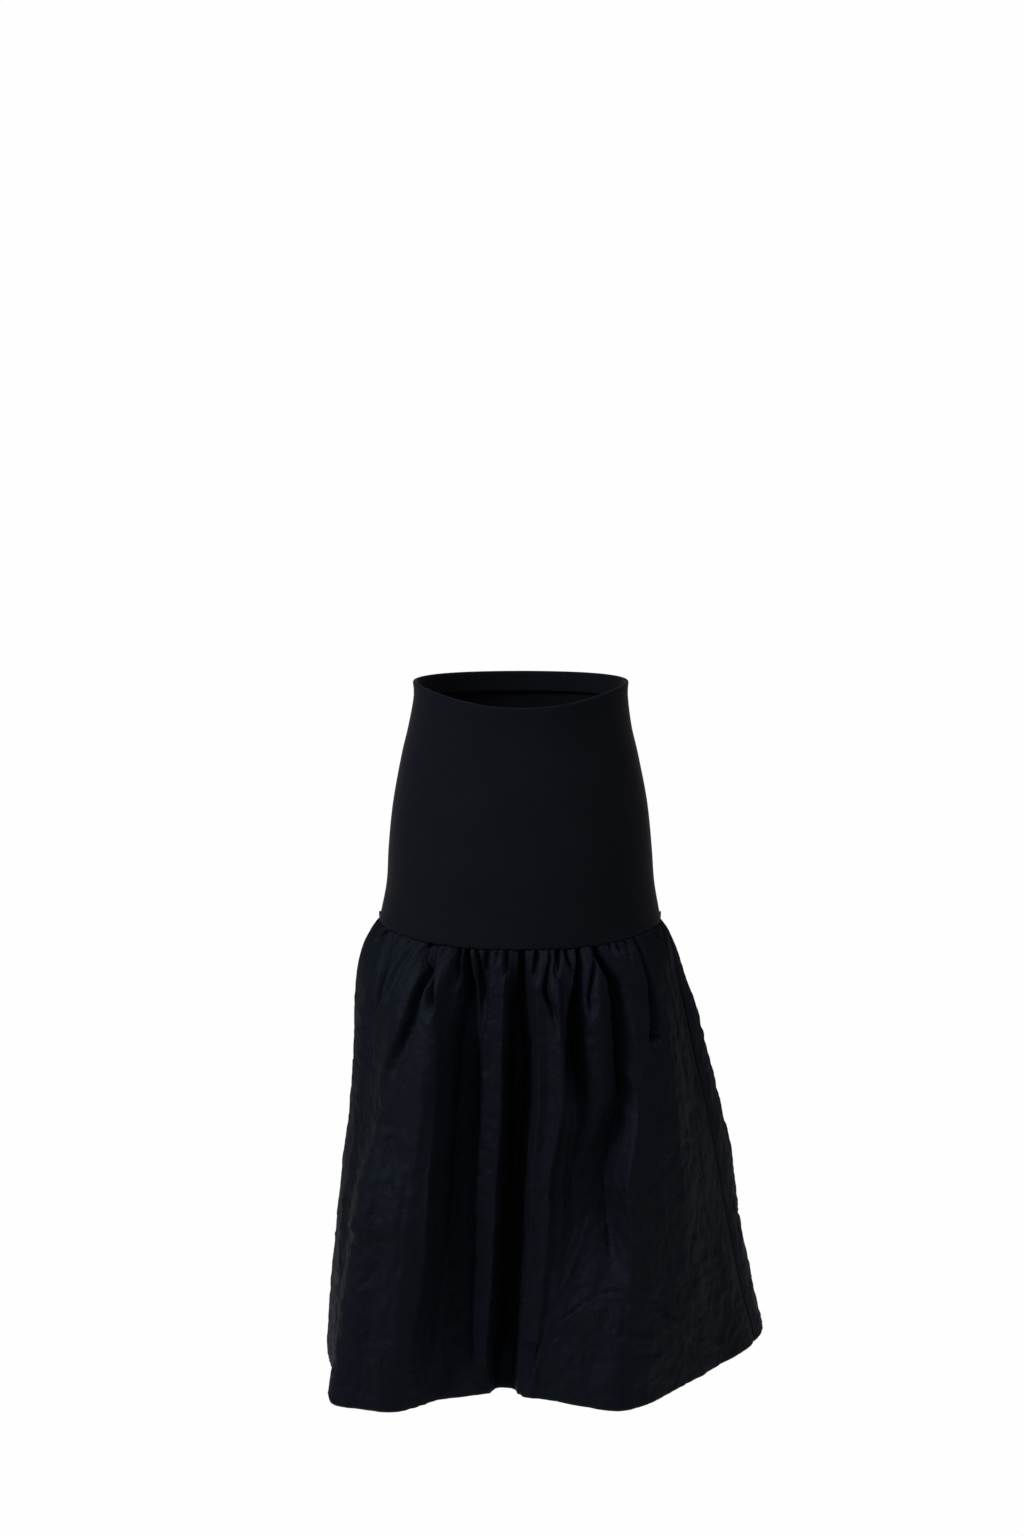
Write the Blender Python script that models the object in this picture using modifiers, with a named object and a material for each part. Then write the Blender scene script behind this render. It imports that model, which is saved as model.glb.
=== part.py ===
"""Balloon skirt: a deep stretch yoke with a gathered woven skirt whose hem is folded under.

Metres, +Z up. The front faces -Y and the origin is the middle of the waist opening.
A turn is an angle round the body in degrees: 0 is centre front, 90 the +X side, 180 centre back.
A drop is a share of the way down a panel: 0 at its upper seam, 1 at its lower edge.
"""
import math
from collections import namedtuple

import bmesh
import bpy

# cloth and seams
YOKE_WALL = 0.0014
SKIRT_WALL = 0.0013
SEAM_GAP = 0.0003

# heights of the edges at the side seams, and how far each edge dips at the front and the back
SEAM_HEIGHT = -0.282
HEM_HEIGHT = -0.804
Dip = namedtuple("Dip", "front back power")
WAIST_DIP = Dip(front=0.018, back=0.002, power=2.6)
SEAM_DIP = Dip(front=0.0095, back=0.006, power=6.0)

# turned waist edge: radius of its roll and how far the cloth runs down again inside
WAIST_ROLL = 0.0021
WAIST_TURNING = 0.022

# folded hem: how far the cloth goes in, how deep its round is, how far it runs up again inside, how much
# it leans in there and how far inside the folds it stays
HEM_INSET = 0.028
HEM_ROUND = 0.007
HEM_TURNING = 0.065
HEM_TURNING_LEAN = 0.012
HEM_TURNING_ROOM = 0.012

# yoke: drop, then distance from the axis at the left, right, front and back
YokeSection = namedtuple("YokeSection", "drop left right front back")
YOKE_SECTIONS = (
    YokeSection(0.00, 0.1245, 0.1240, 0.0945, 0.0900),
    YokeSection(0.06, 0.1232, 0.1232, 0.0940, 0.0895),
    YokeSection(0.19, 0.1298, 0.1278, 0.0965, 0.0935),
    YokeSection(0.31, 0.1378, 0.1359, 0.0995, 0.1000),
    YokeSection(0.50, 0.1478, 0.1462, 0.1050, 0.1115),
    YokeSection(0.69, 0.1535, 0.1520, 0.1105, 0.1215),
    YokeSection(0.84, 0.1562, 0.1552, 0.1135, 0.1250),
    YokeSection(1.00, 0.1650, 0.1632, 0.1155, 0.1270),
)

# hem seen from above
HemPoint = namedtuple("HemPoint", "turn radius")
HEM_OUTLINE = (
    HemPoint(-180, 0.222),
    HemPoint(-154, 0.244),
    HemPoint(-130, 0.252),
    HemPoint(-108, 0.236),
    HemPoint(-90, 0.229),
    HemPoint(-68, 0.237),
    HemPoint(-57, 0.258),
    HemPoint(-48, 0.290),
    HemPoint(-41, 0.278),
    HemPoint(-34, 0.262),
    HemPoint(-28, 0.212),
    HemPoint(-20, 0.188),
    HemPoint(-9, 0.167),
    HemPoint(8, 0.183),
    HemPoint(20, 0.216),
    HemPoint(27, 0.242),
    HemPoint(35, 0.243),
    HemPoint(50, 0.233),
    HemPoint(62, 0.236),
    HemPoint(75, 0.249),
    HemPoint(88, 0.277),
    HemPoint(103, 0.296),
    HemPoint(122, 0.272),
    HemPoint(144, 0.236),
    HemPoint(162, 0.232),
)

# how soon the lower cloth stands away from the seam's line and takes the hem's, on each side
Spread = namedtuple("Spread", "drop left right middle")
SPREAD = (
    Spread(0.00, 0.00, 0.00, 0.00),
    Spread(0.07, 0.26, 0.13, 0.18),
    Spread(0.14, 0.38, 0.22, 0.30),
    Spread(0.28, 0.45, 0.39, 0.45),
    Spread(0.42, 0.53, 0.53, 0.57),
    Spread(0.56, 0.70, 0.65, 0.69),
    Spread(0.78, 0.87, 0.81, 0.85),
    Spread(1.00, 1.00, 1.00, 1.00),
)

# lines down the large folds, in order round the skirt: turns at the drops of TURN_DROPS, heights at those
# of FOLD_DROPS (plus stands out, minus sinks in), and how sharp the cloth turns there: 0 is a round bend
# and 1.2 a crease; lean is how many degrees a line leans round the body for each mm of its depth
FoldLine = namedtuple("FoldLine", "turns heights sharp lean")
TURN_DROPS = (0.0, 0.3, 0.55, 1.0)
FOLD_DROPS = (0.0, 0.12, 0.30, 0.55, 0.85, 1.0)
FOLD_LINES = (
    FoldLine((-84, -84, -84, -84), (0.000, 0.000, 0.000, 0.000, 0.000, 0.000), 0.3, 0.0),
    FoldLine((-67, -68, -66, -58), (0.001, 0.005, 0.007, 0.007, 0.005, 0.001), 1.0, 0.0),
    FoldLine((-60, -61, -59, -51), (0.000, 0.000, 0.000, 0.000, 0.000, 0.000), 0.4, 0.0),
    FoldLine((-48, -46, -44, -41), (-0.002, -0.006, -0.003, 0.002, 0.001, 0.000), 0.0, 0.0),
    FoldLine((-36, -30.3, -28.5, -31), (0.000, 0.003, 0.012, 0.030, 0.014, 0.000), 1.2, 0.0),
    FoldLine((-31, -27.5, -26.4, -27.5), (-0.002, -0.012, -0.027, -0.033, -0.020, -0.004), 0.2, -0.19),
    FoldLine((-24, -21.5, -22, -20.5), (-0.002, -0.012, -0.026, -0.033, -0.018, -0.003), 0.2, 0.0),
    FoldLine((-15, -17, -18.2, -17.5), (0.000, -0.002, -0.004, -0.005, -0.002, 0.000), 0.7, 0.0),
    FoldLine((-8, -9, -10.6, -11), (0.001, 0.004, 0.007, 0.008, 0.006, 0.002), 1.1, 0.0),
    FoldLine((-3, -5.5, -8, -8.6), (-0.003, -0.022, -0.060, -0.084, -0.068, -0.012), 0.2, 0.0),
    FoldLine((2, 2.5, -1, -4.5), (-0.003, -0.022, -0.060, -0.084, -0.068, -0.012), 0.2, 0.0),
    FoldLine((7, 7.4, 3.8, -1), (0.001, 0.004, 0.007, 0.008, 0.005, 0.001), 1.2, 0.0),
    FoldLine((11, 11.4, 7.6, 3), (0.001, 0.002, 0.001, 0.002, 0.002, 0.001), 0.4, 0.0),
    FoldLine((17, 16.4, 11.6, 7), (0.001, 0.006, 0.008, 0.007, 0.003, 0.001), 1.2, 0.0),
    FoldLine((22, 20, 15.2, 13), (-0.002, -0.012, -0.022, -0.012, -0.004, -0.001), 0.2, 0.0),
    FoldLine((29, 27.5, 23.5, 20), (-0.002, -0.008, -0.019, -0.028, -0.008, -0.001), 0.2, 0.0),
    FoldLine((36, 33, 27.5, 22), (0.001, 0.000, -0.008, -0.033, -0.008, -0.001), 0.5, 0.0),
    FoldLine((44, 42.5, 30, 26.5), (-0.001, -0.009, -0.020, -0.033, -0.006, 0.000), 0.2, 0.18),
    FoldLine((51, 47, 33, 31), (0.001, 0.003, 0.004, 0.003, 0.002, 0.001), 1.2, 0.0),
    FoldLine((63, 63, 61, 57), (0.001, 0.005, 0.008, 0.008, 0.006, 0.002), 0.6, 0.0),
    FoldLine((76, 76, 76, 74), (0.000, -0.003, -0.004, -0.004, -0.002, 0.000), 0.8, 0.0),
    FoldLine((86, 86, 86, 86), (-0.002, -0.008, -0.011, -0.010, -0.006, -0.001), 0.0, 0.0),
    FoldLine((98, 98, 98, 98), (0.000, 0.000, 0.000, 0.000, 0.000, 0.000), 0.5, 0.0),
    FoldLine((112, 110, 108, 109), (0.000, 0.005, 0.010, 0.013, 0.009, 0.004), 0.4, 0.0),
    FoldLine((120, 120, 119, 119), (0.000, 0.003, 0.005, 0.005, 0.004, 0.001), 1.1, 0.0),
    FoldLine((126, 124, 123, 124), (-0.002, -0.011, -0.024, -0.032, -0.020, -0.005), 0.2, -0.05),
    FoldLine((134, 135, 135, 133), (-0.002, -0.010, -0.022, -0.030, -0.017, -0.004), 0.2, 0.12),
    FoldLine((142, 142, 141, 142), (0.001, 0.003, 0.006, 0.007, 0.005, 0.002), 1.1, 0.0),
    FoldLine((159, 161, 164, 168), (0.001, 0.005, 0.009, 0.011, 0.009, 0.003), 1.1, 0.0),
    FoldLine((168, 171, 172, 176), (-0.002, -0.014, -0.038, -0.056, -0.044, -0.008), 0.2, 0.0),
    FoldLine((174, 179, 182, 185), (-0.002, -0.014, -0.038, -0.056, -0.044, -0.008), 0.2, 0.0),
    FoldLine((184, 188, 191, 195), (0.001, 0.004, 0.006, 0.008, 0.007, 0.002), 1.1, 0.0),
    FoldLine((206, 207, 208, 209), (0.001, 0.005, 0.009, 0.011, 0.008, 0.003), 0.8, 0.0),
    FoldLine((214, 213, 213, 217), (-0.002, -0.010, -0.020, -0.027, -0.016, -0.005), 0.2, -0.12),
    FoldLine((223, 223, 223, 226), (-0.002, -0.011, -0.022, -0.030, -0.018, -0.005), 0.2, 0.0),
    FoldLine((232, 232, 231, 233), (0.001, 0.003, 0.005, 0.006, 0.004, 0.001), 1.1, 0.0),
    FoldLine((248, 249, 250, 250), (0.001, 0.003, 0.005, 0.006, 0.004, 0.001), 0.4, 0.0),
    FoldLine((264, 264, 264, 264), (0.000, 0.000, 0.000, 0.000, 0.000, 0.000), 0.3, 0.0),
)

# gathers of one panel: their widths repeat this pattern, and so do their heights
GATHER_WIDTHS = (1.0, 0.7, 1.3, 0.85, 1.15, 0.75, 1.25, 0.9, 1.1, 0.8, 1.2, 0.95, 1.05)
GATHER_HEIGHTS = (1.0, 0.6, 1.2, 0.75, 1.0, 0.5, 1.15, 0.8, 0.95)
GATHER_REPEATS = 2
GATHERS = len(GATHER_WIDTHS) * GATHER_REPEATS
Gather = namedtuple("Gather", "drop height")
GATHER_FADE = (
    Gather(0.00, 0.0012),
    Gather(0.03, 0.0042),
    Gather(0.10, 0.0048),
    Gather(0.22, 0.0032),
    Gather(0.40, 0.0012),
    Gather(0.60, 0.0000),
    Gather(1.00, 0.0000),
)

# grid of each panel
YOKE_DROPS = (0.01, 0.06, 0.19, 0.34, 0.50, 0.69, 0.84, 1.0)
YOKE_COLUMNS = 28
SKIRT_DROPS = (0.0, 0.02, 0.05, 0.10, 0.17, 0.26, 0.37, 0.50, 0.64, 0.78, 0.90, 1.0)
COLUMNS_PER_GATHER = 4
ROLL_STEPS = 3
SEAM_STEPS = 360

# finishes: red, green, blue, then roughness
JERSEY = ((0.0058, 0.0066, 0.0090), 0.85)
TAFFETA = ((0.0060, 0.0078, 0.0125), 0.55)


def slope_at(rows, index, column):
    """Slope of a table's column at one row, from the rows beside it."""
    before = rows[max(index - 1, 0)]
    after = rows[min(index + 1, len(rows) - 1)]
    return (getattr(after, column) - getattr(before, column)) / (after[0] - before[0])


def read_table(rows, at, column):
    """Smooth value of a table's column where its first column is `at`."""
    index = 0
    while index < len(rows) - 2 and at > rows[index + 1][0]:
        index += 1
    low, high = rows[index], rows[index + 1]
    span = high[0] - low[0]
    share = (at - low[0]) / span
    rise = 3 * share**2 - 2 * share**3
    leave = (share**3 - 2 * share**2 + share) * span * slope_at(rows, index, column)
    arrive = (share**3 - share**2) * span * slope_at(rows, index + 1, column)
    return getattr(low, column) * (1 - rise) + getattr(high, column) * rise + leave + arrive


def wrap(turn):
    """The same turn, from -180 up to 180 degrees."""
    return (turn + 180.0) % 360.0 - 180.0


def full_circle(rows):
    """A table of turns, carried on past both ends of the circle."""
    before = [row._replace(turn=row.turn - 360) for row in rows[-2:]]
    after = [row._replace(turn=row.turn + 360) for row in rows[:2]]
    return before + list(rows) + after


HEM_CIRCLE = full_circle(HEM_OUTLINE)


def edge_height(level, dip, turn):
    """Height of a horizontal edge that dips towards the front and the back."""
    depth = dip.front if math.cos(math.radians(turn)) > 0 else dip.back
    return level - depth * (1 - abs(math.sin(math.radians(turn))) ** dip.power)


def yoke_radius(turn, drop):
    """Distance of the yoke from the axis: four quarter ellipses that meet at the sides and middles."""
    side = math.sin(math.radians(turn))
    ahead = math.cos(math.radians(turn))
    half_width = read_table(YOKE_SECTIONS, drop, "right" if side > 0 else "left")
    half_depth = read_table(YOKE_SECTIONS, drop, "front" if ahead > 0 else "back")
    return 1 / math.hypot(side / half_width, ahead / half_depth)


def loose_radius(turn, drop):
    """Distance of the lower skirt from the axis before its folds are added."""
    side = math.sin(math.radians(turn))
    sideways = side**2
    outer = read_table(SPREAD, drop, "right" if side > 0 else "left")
    spread = outer * sideways + read_table(SPREAD, drop, "middle") * (1 - sideways)
    seam = yoke_radius(turn, 1.0)
    hem = read_table(HEM_CIRCLE, wrap(turn), "radius")
    return seam + (hem - seam) * spread


def between(values, places, at):
    """Smooth value at one place between two of the given places, level at each of them."""
    index = next(i for i in range(1, len(places)) if at <= places[i] or i == len(places) - 1)
    share = (at - places[index - 1]) / (places[index] - places[index - 1])
    return values[index - 1] + (values[index] - values[index - 1]) * (3 * share**2 - 2 * share**3)


def fold_span(turn):
    """The fold lines on both sides of a turn at the seam, and its share of the way between them."""
    for line, after in zip(FOLD_LINES, FOLD_LINES[1:] + FOLD_LINES[:1]):
        share = ((turn - line.turns[0]) % 360.0) / ((after.turns[0] - line.turns[0]) % 360.0)
        if share < 1:
            return line, after, share


def fold_at(span, drop):
    """Turn at one drop of cloth that runs down between two fold lines, how far out they move it, and
    its lean."""
    line, after, share = span
    start = between(line.turns, TURN_DROPS, drop)
    end = between(after.turns, TURN_DROPS, drop)
    low = between(line.heights, FOLD_DROPS, drop)
    high = between(after.heights, FOLD_DROPS, drop)
    rise = 3 * share**2 - 2 * share**3
    rise += line.sharp * (share**3 - 2 * share**2 + share) + after.sharp * (share**3 - share**2)
    lean = -1000 * (line.lean * low * (1 - rise) + after.lean * high * rise)
    return start + (end - start) % 360.0 * share, low + (high - low) * rise, lean


def place(turn, radius, height):
    """Point at one turn, distance from the axis and height."""
    angle = math.radians(turn)
    return (radius * math.sin(angle), -radius * math.cos(angle), height)


def seam_turns(shares, start):
    """Turns that lie at the given shares of the seam's length, on the half from turn `start` on."""
    turns = [start + 180 * index / SEAM_STEPS for index in range(SEAM_STEPS + 1)]
    points = [place(turn, yoke_radius(turn, 1.0), 0.0) for turn in turns]
    lengths = [0.0]
    for before, after in zip(points, points[1:]):
        lengths.append(lengths[-1] + math.dist(before, after))
    found = []
    for share in shares:
        goal = share * lengths[-1]
        index = next((i for i, length in enumerate(lengths) if length > goal), SEAM_STEPS)
        part = (goal - lengths[index - 1]) / (lengths[index] - lengths[index - 1])
        found.append(turns[index - 1] + part * (turns[index] - turns[index - 1]))
    return found


def gather_turns(start):
    """Turns where one panel's gathers begin and end, with their uneven widths."""
    ends = [0.0]
    for width in GATHER_WIDTHS * GATHER_REPEATS:
        ends.append(ends[-1] + width)
    return seam_turns([end / ends[-1] for end in ends], start)


def gather_height(phase, drop):
    """How far the gathers move the cloth out; the whole part of the phase counts gathers."""
    own = GATHER_HEIGHTS[int(phase) % len(GATHER_HEIGHTS)]
    return -math.cos(2 * math.pi * phase) * own * read_table(GATHER_FADE, drop, "height")


def yoke_column(turn):
    """Outer points of the yoke at one turn, from the lower seam up, over the roll and inside."""
    top = edge_height(0.0, WAIST_DIP, turn)
    bottom = edge_height(SEAM_HEIGHT, SEAM_DIP, turn)
    points = []
    for drop in reversed(YOKE_DROPS):
        points.append(place(turn, yoke_radius(turn, drop), top + (bottom - top) * drop))
    start = top + (bottom - top) * YOKE_DROPS[0]
    radius = yoke_radius(turn, YOKE_DROPS[0])
    for step in range(1, ROLL_STEPS + 1):
        angle = math.pi * step / ROLL_STEPS
        inward = WAIST_ROLL * (1 - math.cos(angle))
        points.append(place(turn, radius - inward, start + WAIST_ROLL * math.sin(angle)))
    points.append(place(turn, radius - 2 * WAIST_ROLL, start - WAIST_TURNING))
    return points


def skirt_column(seam_turn, phase):
    """Outer points of the lower skirt down its folds, from the seam to the hem, round it and up inside."""
    span = fold_span(seam_turn)
    bottom = HEM_HEIGHT + HEM_ROUND
    points = []
    for drop in SKIRT_DROPS:
        turn, fold, lean = fold_at(span, drop)
        top = edge_height(SEAM_HEIGHT, SEAM_DIP, turn) - SEAM_GAP
        radius = loose_radius(turn, drop) + fold + gather_height(phase, drop)
        points.append(place(turn + lean, radius, top + (bottom - top) * drop))
    inner = loose_radius(turn, 1.0) - HEM_INSET
    half = (radius - inner) / 2
    for step in range(1, ROLL_STEPS + 1):
        angle = math.pi * step / ROLL_STEPS
        inward = half * (1 - math.cos(angle))
        points.append(place(turn + lean, radius - inward, bottom - HEM_ROUND * math.sin(angle)))
    drop = 1 - HEM_TURNING / (SEAM_HEIGHT - HEM_HEIGHT)
    turn, fold, lean = fold_at(span, drop)
    free_end = min(inner - HEM_TURNING_LEAN, loose_radius(turn, drop) + fold - HEM_TURNING_ROOM)
    points.append(place(turn + lean, free_end, bottom + HEM_TURNING))
    return points


def loft(name, columns, wall, material, outward):
    """Cloth wall through neighbouring columns of points."""
    mesh = bpy.data.meshes.new(name)
    grid = bmesh.new()
    rows = [[grid.verts.new(point) for point in column] for column in columns]
    for left, right in zip(rows, rows[1:]):
        for index in range(len(left) - 1):
            corners = (left[index], right[index], right[index + 1], left[index + 1])
            grid.faces.new(corners if outward else reversed(corners))
    for face in grid.faces:
        face.smooth = True
    grid.to_mesh(mesh)
    grid.free()
    mesh.materials.append(material)
    panel = bpy.data.objects.new(name, mesh)
    cloth = panel.modifiers.new("cloth", "SOLIDIFY")
    cloth.thickness = wall
    cloth.offset = -1.0
    bpy.data.collections["balloon_skirt"].objects.link(panel)
    return panel


def cloth_material(name, finish):
    """Matt cloth of one colour."""
    colour, roughness = finish
    material = bpy.data.materials.new(name)
    material.use_nodes = True
    shader = material.node_tree.nodes["Principled BSDF"]
    shader.inputs["Base Color"].default_value = (*colour, 1.0)
    shader.inputs["Roughness"].default_value = roughness
    shader.inputs["Metallic"].default_value = 0.0
    material.diffuse_color = (*colour, 1.0)
    return material


def side_turn(turn, start, radius):
    """Turn kept half a gap away from the side seams, measured where the cloth is nearest the axis."""
    gap = math.degrees(SEAM_GAP / 2 / radius)
    return min(max(turn, start + gap), start + 180 - gap)


def make_yoke(name, start, material):
    """Yoke panel from the side seam at turn `start` to the one opposite."""
    radius = yoke_radius(start, 0.0)
    columns = []
    for turn in seam_turns([index / YOKE_COLUMNS for index in range(YOKE_COLUMNS + 1)], start):
        columns.append(yoke_column(side_turn(turn, start, radius)))
    return loft(name, columns, YOKE_WALL, material, outward=True)


def make_skirt(name, start, material):
    """Gathered panel from the side seam at turn `start` to the one opposite."""
    radius = yoke_radius(start, 1.0)
    edges = gather_turns(start)
    columns = []
    for index in range(GATHERS * COLUMNS_PER_GATHER + 1):
        phase = index / COLUMNS_PER_GATHER
        gather = min(int(phase), GATHERS - 1)
        turn = edges[gather] + (edges[gather + 1] - edges[gather]) * (phase - gather)
        columns.append(skirt_column(side_turn(turn, start, radius), phase))
    return loft(name, columns, SKIRT_WALL, material, outward=False)


def main():
    """Builds the skirt in an empty scene."""
    for thing in list(bpy.data.objects):
        bpy.data.objects.remove(thing)
    collection = bpy.data.collections.new("balloon_skirt")
    bpy.context.scene.collection.children.link(collection)
    jersey = cloth_material("jersey", JERSEY)
    taffeta = cloth_material("taffeta", TAFFETA)
    make_yoke("yoke_front", -90.0, jersey)
    make_yoke("yoke_back", 90.0, jersey)
    make_skirt("skirt_front", -90.0, taffeta)
    make_skirt("skirt_back", 90.0, taffeta)


main()
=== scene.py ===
import math
import random

import bpy
import numpy as np
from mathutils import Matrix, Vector, noise


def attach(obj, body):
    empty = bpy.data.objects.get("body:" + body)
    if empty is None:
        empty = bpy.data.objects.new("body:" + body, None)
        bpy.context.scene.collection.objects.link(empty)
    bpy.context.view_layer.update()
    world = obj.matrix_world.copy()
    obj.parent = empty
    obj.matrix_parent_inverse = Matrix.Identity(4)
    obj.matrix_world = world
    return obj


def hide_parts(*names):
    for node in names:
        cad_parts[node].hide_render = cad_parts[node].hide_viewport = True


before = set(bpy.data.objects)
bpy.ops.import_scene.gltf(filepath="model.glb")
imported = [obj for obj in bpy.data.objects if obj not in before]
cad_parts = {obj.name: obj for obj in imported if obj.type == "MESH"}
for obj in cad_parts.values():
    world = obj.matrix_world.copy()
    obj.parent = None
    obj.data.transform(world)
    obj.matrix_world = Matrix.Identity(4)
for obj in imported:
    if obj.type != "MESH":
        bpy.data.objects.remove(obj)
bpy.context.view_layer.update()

# Metres, +Z up, the front faces -Y and the origin is the middle of the waist opening.
# A turn is degrees round the body: 0 centre front, 90 the right side, 180 centre back.
# A drop is the share of the way down a panel: 0 at its upper seam, 1 at its lower edge.
mm = 0.001
upward = np.array((0.0, 0.0, 1.0))

body = {
    "seamHeight": -0.282,
    "seamDip": (0.0095, 0.006, 6.0),  # front, back, power
    "waistDip": (0.018, 0.002, 2.6),
    "seamGap": 0.0003,
    "seamRoll": 1.7 * mm,  # how far an edge rolls in at a seam
    "rollReach": 2.4 * mm,  # how far from the seam the roll begins
    # small waves of the low seam: height in mm, radians for each degree of turn, start in radians
    "seamWaves": ((0.35, 0.9, 1.0), (0.3, 1.7, 2.3), (0.2, 0.43, 0.0)),
    "sideDraw": 1.3 * mm,  # how far the cloth draws in beside a side seam
    "sideDrawReach": 2.2,  # mm
    "sideEdge": (4 * mm, 1.1 * mm),  # how far the side edges turn in, outermost first
    "swellFall": 1.6,  # how steeply a swelling dies away
}

yoke = {
    "columns": 181,
    "rows": (0.01, 0.972, 40),  # first drop, last drop, number
    "seamRows": (0.979, 0.984, 0.988, 0.991, 0.9935, 0.9955, 0.997, 0.9985, 1.0),
    "depth": 0.28,
    # wavelength in mm, stretch down the cloth, height in mm, and 1 for sharp wrinkles
    "crumple": ((90, 1.0, 0.35, 0), (40, 1.4, 0.12, 0)),
    "calm": (0.05, 0.04),  # share of the depth without crumple below the waist and above the seam
    # turn, drop, half width, half height and rise in mm
    "dimples": ((-36.0, 0.115, 5, 7, -0.7), (20.0, 0.55, 60, 50, 0.5)),
    "roll": 0.0021,  # radius of the turned waist edge
    "rollRows": 8,
    "turning": 0.022,
    "turningRows": 9,
    # seam allowance inside: mm inwards, mm up
    "allowance": ((0.5, 0.12), (0.9, 0.6), (1.0, 3.0), (1.0, 6.0), (1.0, 9.0)),
    "thickness": 0.9 * mm,
    "flat": (0.40, 0.31),
    # drop, then distance from the axis at the left, right, front and back
    "sections": np.array((
        (0.00, 0.1245, 0.1240, 0.0945, 0.0900),
        (0.06, 0.1232, 0.1232, 0.0940, 0.0895),
        (0.19, 0.1298, 0.1278, 0.0965, 0.0935),
        (0.31, 0.1378, 0.1359, 0.1008, 0.1000),
        (0.50, 0.1478, 0.1462, 0.1080, 0.1115),
        (0.69, 0.1535, 0.1520, 0.1132, 0.1215),
        (0.84, 0.1562, 0.1552, 0.1146, 0.1250),
        (1.00, 0.1650, 0.1632, 0.1155, 0.1270),
    )),
}

skirt = {
    "columns": 361,
    "trialColumns": 1801,
    "columnSmoothing": 12,
    "bendShare": 3.0,  # mm of length that a bend of one radian counts as
    # rows from the seam down: where each run begins and how many it has; the last ends at the hem
    "rowRuns": ((0, 6), (0.010, 38), (0.12, 40), (0.30, 60), (0.74, 54)),
    "degreeLength": 2.8,  # mm round the skirt for a degree, about
    # how much stronger gathers and creases are than in their tables
    "gatherDepth": 2.9,
    "gatherWidth": 1.1,
    "creaseDepth": 1.5,
    "gatherRound": 0.25,  # mm, rounds the bottom of a gather
    "crumple": ((64, 1.4, 2.2, 0), (31, 1.2, 2.6, 1), (15, 1.1, 2.3, 1), (8, 1.0, 1.3, 1)),
    # how the crumple grows below the seam: share of it, and the drops where it begins and is full
    "calm": ((0.3, 0.0, 0.03), (0.7, 0.06, 0.26)),
    "calmColumns": 8,
    "allowance": ((1.7, 9.0), (1.7, 4.0), (1.5, 0.7), (0.8, 0.12)),  # as in the yoke
    "hemHeight": -0.804,
    "hemRound": 0.007,
    "hemRows": 8,
    "hemInset": 0.028,
    "turning": 0.065,
    "turningRows": 12,
    "turningLean": 0.012,
    "turningRoom": 0.012,  # how far inside the folds the turning stays
    "thickness": 0.5 * mm,
    "flat": (0.96, 0.63),
    "backFlat": (0.88, 0.63),
    # hem seen from above: turn, distance from the axis
    "hem": np.array((
        (-180, 0.222), (-154, 0.244), (-130, 0.252), (-108, 0.236), (-90, 0.229), (-68, 0.237),
        (-57, 0.258), (-48, 0.290), (-41, 0.278), (-34, 0.262), (-28, 0.212), (-20, 0.188),
        (-9, 0.167), (8, 0.183), (20, 0.216), (27, 0.242), (35, 0.243), (50, 0.233), (62, 0.236),
        (75, 0.249), (88, 0.277), (103, 0.296), (122, 0.272), (144, 0.236), (162, 0.232),
    )),
    # how soon the cloth stands away from the seam: drop, then left, right and middle
    "spread": np.array((
        (0.00, 0.00, 0.00, 0.00), (0.07, 0.26, 0.13, 0.18), (0.14, 0.38, 0.22, 0.30),
        (0.28, 0.45, 0.39, 0.45), (0.42, 0.53, 0.53, 0.57), (0.56, 0.70, 0.65, 0.69),
        (0.78, 0.87, 0.81, 0.85), (1.00, 1.00, 1.00, 1.00),
    )),
    # how the ridges between the gathers puff out below the seam: drop, height
    "puff": np.array((
        (0.00, 0.0004), (0.010, 0.0020), (0.03, 0.0038), (0.08, 0.0042), (0.16, 0.0030),
        (0.30, 0.0012), (0.45, 0.0), (1.0, 0.0),
    )),
}

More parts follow.
